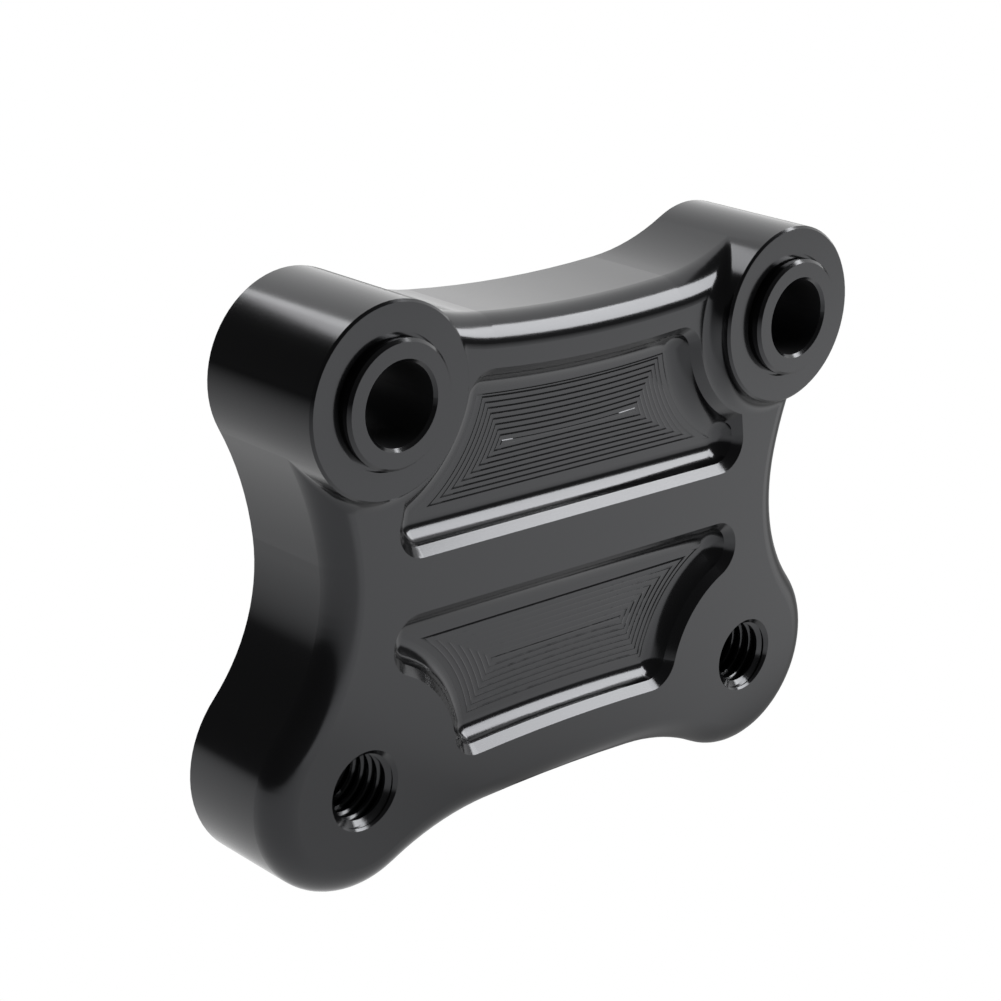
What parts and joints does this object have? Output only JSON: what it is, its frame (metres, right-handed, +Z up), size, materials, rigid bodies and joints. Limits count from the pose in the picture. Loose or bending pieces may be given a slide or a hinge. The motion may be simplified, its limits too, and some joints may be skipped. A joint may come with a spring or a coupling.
{
  "type": "motorcycle bar riser",
  "caption": "Machined handlebar riser block: a waisted plate with proud, spigoted bosses over clearance bores above, threaded holes below and shallow pockets in its face.",
  "frame": {"origin": "under the middle of the block, on the surface its two lower lobes stand on, half way through its whole depth", "axes": "+X across the block, +Z up the rise, and -Y out of the front face that carries the pockets and spigots"},
  "size_m": [0.125, 0.0264, 0.0969],
  "materials": {
    "block": "black anodised, satin"
  },
  "bodies": {
    "root": {"riser_block": "block"}
  },
  "joints": []
}
